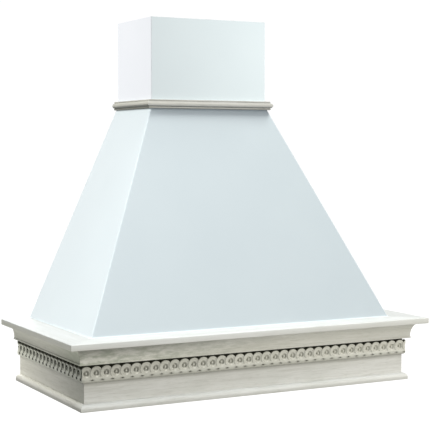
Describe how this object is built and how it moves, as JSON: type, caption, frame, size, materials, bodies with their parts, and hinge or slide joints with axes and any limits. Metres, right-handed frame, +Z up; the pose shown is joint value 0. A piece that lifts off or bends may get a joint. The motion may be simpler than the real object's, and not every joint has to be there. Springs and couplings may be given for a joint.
{
  "type": "wall range hood",
  "caption": "Wall-mounted pyramid range hood: painted steel canopy and sliding chimney cover on a carved wooden cornice, with blower, damper, hinged grease filters, lamps and push buttons.",
  "frame": {"origin": "on the wall plane, at the middle of the lower rim of the rear rail", "axes": "+X along the wall to the right as seen from the room, +Y into the wall, +Z up; the front is at negative Y"},
  "size_m": [0.9, 0.45, 0.85],
  "materials": {
    "limed_wood": "limed and waxed, fine grain along the board",
    "inner_wood": "plain unfinished softwood",
    "white_paint": "satin cool white paint on folded steel sheet",
    "zinc_sheet": "zinc coated sheet",
    "panel_steel": "brushed stainless sheet",
    "filter_aluminium": "satin aluminium",
    "screw_steel": "zinc plated steel",
    "grey_plastic": "dark grey moulded plastic",
    "motor_steel": "dark painted steel case",
    "fan_plastic": "black moulded plastic",
    "bush_rubber": "black rubber",
    "lamp_trim": "satin chrome",
    "lamp_glass": "frosted glass",
    "button_plastic": "light grey moulded plastic"
  },
  "bodies": {
    "hood": {"base_moulding_front": "limed_wood", "base_moulding_left": "limed_wood", "base_moulding_right": "limed_wood", "blower_bracket": "zinc_sheet", "blower_housing": "grey_plastic", "blower_motor": "motor_steel", "bottom_panel": "panel_steel", "cable_gland": "grey_plastic", "canopy_back_plate": "zinc_sheet", "canopy_foot_strip": "zinc_sheet", "canopy_front_sheet": "white_paint", "canopy_left_sheet": "white_paint", "canopy_right_sheet": "white_paint", "coin_moulding_front": "limed_wood", "coin_moulding_left": "limed_wood", "coin_moulding_right": "limed_wood", "collar_moulding_front": "limed_wood", "collar_moulding_left": "limed_wood", "collar_moulding_right": "limed_wood", "corner_blocks": "inner_wood", "cove_moulding_front": "limed_wood", "cove_moulding_left": "limed_wood", "cove_moulding_right": "limed_wood", "damper_axle": "screw_steel", "frame_screws": "screw_steel", "frieze_board_front": "limed_wood", "frieze_board_left": "limed_wood", "frieze_board_right": "limed_wood", "lamp_left_body": "lamp_trim", "lamp_left_lens": "lamp_glass", "lamp_right_body": "lamp_trim", "lamp_right_lens": "lamp_glass", "ledge_front": "limed_wood", "ledge_left": "limed_wood", "ledge_right": "limed_wood", "neck_strip": "zinc_sheet", "outlet_spigot": "grey_plastic", "rear_rail": "inner_wood", "sheet_screws": "screw_steel", "switch_box": "grey_plastic", "terminal_box": "grey_plastic", "terminal_box_lid": "grey_plastic", "vibration_bushes": "bush_rubber"},
    "chimney": {"chimney_cover": "white_paint", "chimney_wall_bracket": "zinc_sheet", "chimney_screws": "screw_steel"},
    "fan_wheel": {"impeller": "fan_plastic"},
    "flap_left": {"damper_flap_left": "grey_plastic"},
    "flap_right": {"damper_flap_right": "grey_plastic"},
    "filter_left": {"filter_left_frame": "filter_aluminium", "filter_left_mesh": "filter_aluminium"},
    "filter_right": {"filter_right_frame": "filter_aluminium", "filter_right_mesh": "filter_aluminium"},
    "latch_left": {"filter_left_latch": "grey_plastic"},
    "latch_right": {"filter_right_latch": "grey_plastic"},
    "key_light": {"button_light": "button_plastic"},
    "key_off": {"button_off": "button_plastic"},
    "key_speed_1": {"button_speed_1": "button_plastic"},
    "key_speed_2": {"button_speed_2": "button_plastic"},
    "key_speed_3": {"button_speed_3": "button_plastic"}
  },
  "joints": [
    {"name": "chimney_slide", "type": "slide", "parent": "hood", "child": "chimney", "axis": [0, 0, 1], "range_m": [0, 0.09]},
    {"name": "fan_spin", "type": "hinge", "parent": "hood", "child": "fan_wheel", "pos_m": [0, -0.15, 0.415], "axis": [1, 0, 0], "continuous": true},
    {"name": "flap_left_swing", "type": "hinge", "parent": "hood", "child": "flap_left", "pos_m": [0, -0.095, 0.566], "axis": [0, 1, 0], "range_deg": [0, 78]},
    {"name": "flap_right_swing", "type": "hinge", "parent": "hood", "child": "flap_right", "pos_m": [0, -0.095, 0.566], "axis": [0, -1, 0], "range_deg": [0, 78]},
    {"name": "filter_left_hinge", "type": "hinge", "parent": "hood", "child": "filter_left", "pos_m": [-0.172, -0.0505, 0.038], "axis": [1, 0, 0], "range_deg": [0, 75]},
    {"name": "filter_left_latch_slide", "type": "slide", "parent": "filter_left", "child": "latch_left", "axis": [0, 1, 0], "range_m": [0, 0.005], "stiffness_N_per_m": 400},
    {"name": "filter_right_hinge", "type": "hinge", "parent": "hood", "child": "filter_right", "pos_m": [0.172, -0.0505, 0.038], "axis": [1, 0, 0], "range_deg": [0, 75]},
    {"name": "filter_right_latch_slide", "type": "slide", "parent": "filter_right", "child": "latch_right", "axis": [0, 1, 0], "range_m": [0, 0.005], "stiffness_N_per_m": 400},
    {"name": "press_light", "type": "slide", "parent": "hood", "child": "key_light", "axis": [0, 0, 1], "range_m": [0, 0.003], "stiffness_N_per_m": 500, "springref_m": -0.001},
    {"name": "press_off", "type": "slide", "parent": "hood", "child": "key_off", "axis": [0, 0, 1], "range_m": [0, 0.003], "stiffness_N_per_m": 500, "springref_m": -0.001},
    {"name": "press_speed_1", "type": "slide", "parent": "hood", "child": "key_speed_1", "axis": [0, 0, 1], "range_m": [0, 0.003], "stiffness_N_per_m": 500, "springref_m": -0.001},
    {"name": "press_speed_2", "type": "slide", "parent": "hood", "child": "key_speed_2", "axis": [0, 0, 1], "range_m": [0, 0.003], "stiffness_N_per_m": 500, "springref_m": -0.001},
    {"name": "press_speed_3", "type": "slide", "parent": "hood", "child": "key_speed_3", "axis": [0, 0, 1], "range_m": [0, 0.003], "stiffness_N_per_m": 500, "springref_m": -0.001}
  ]
}
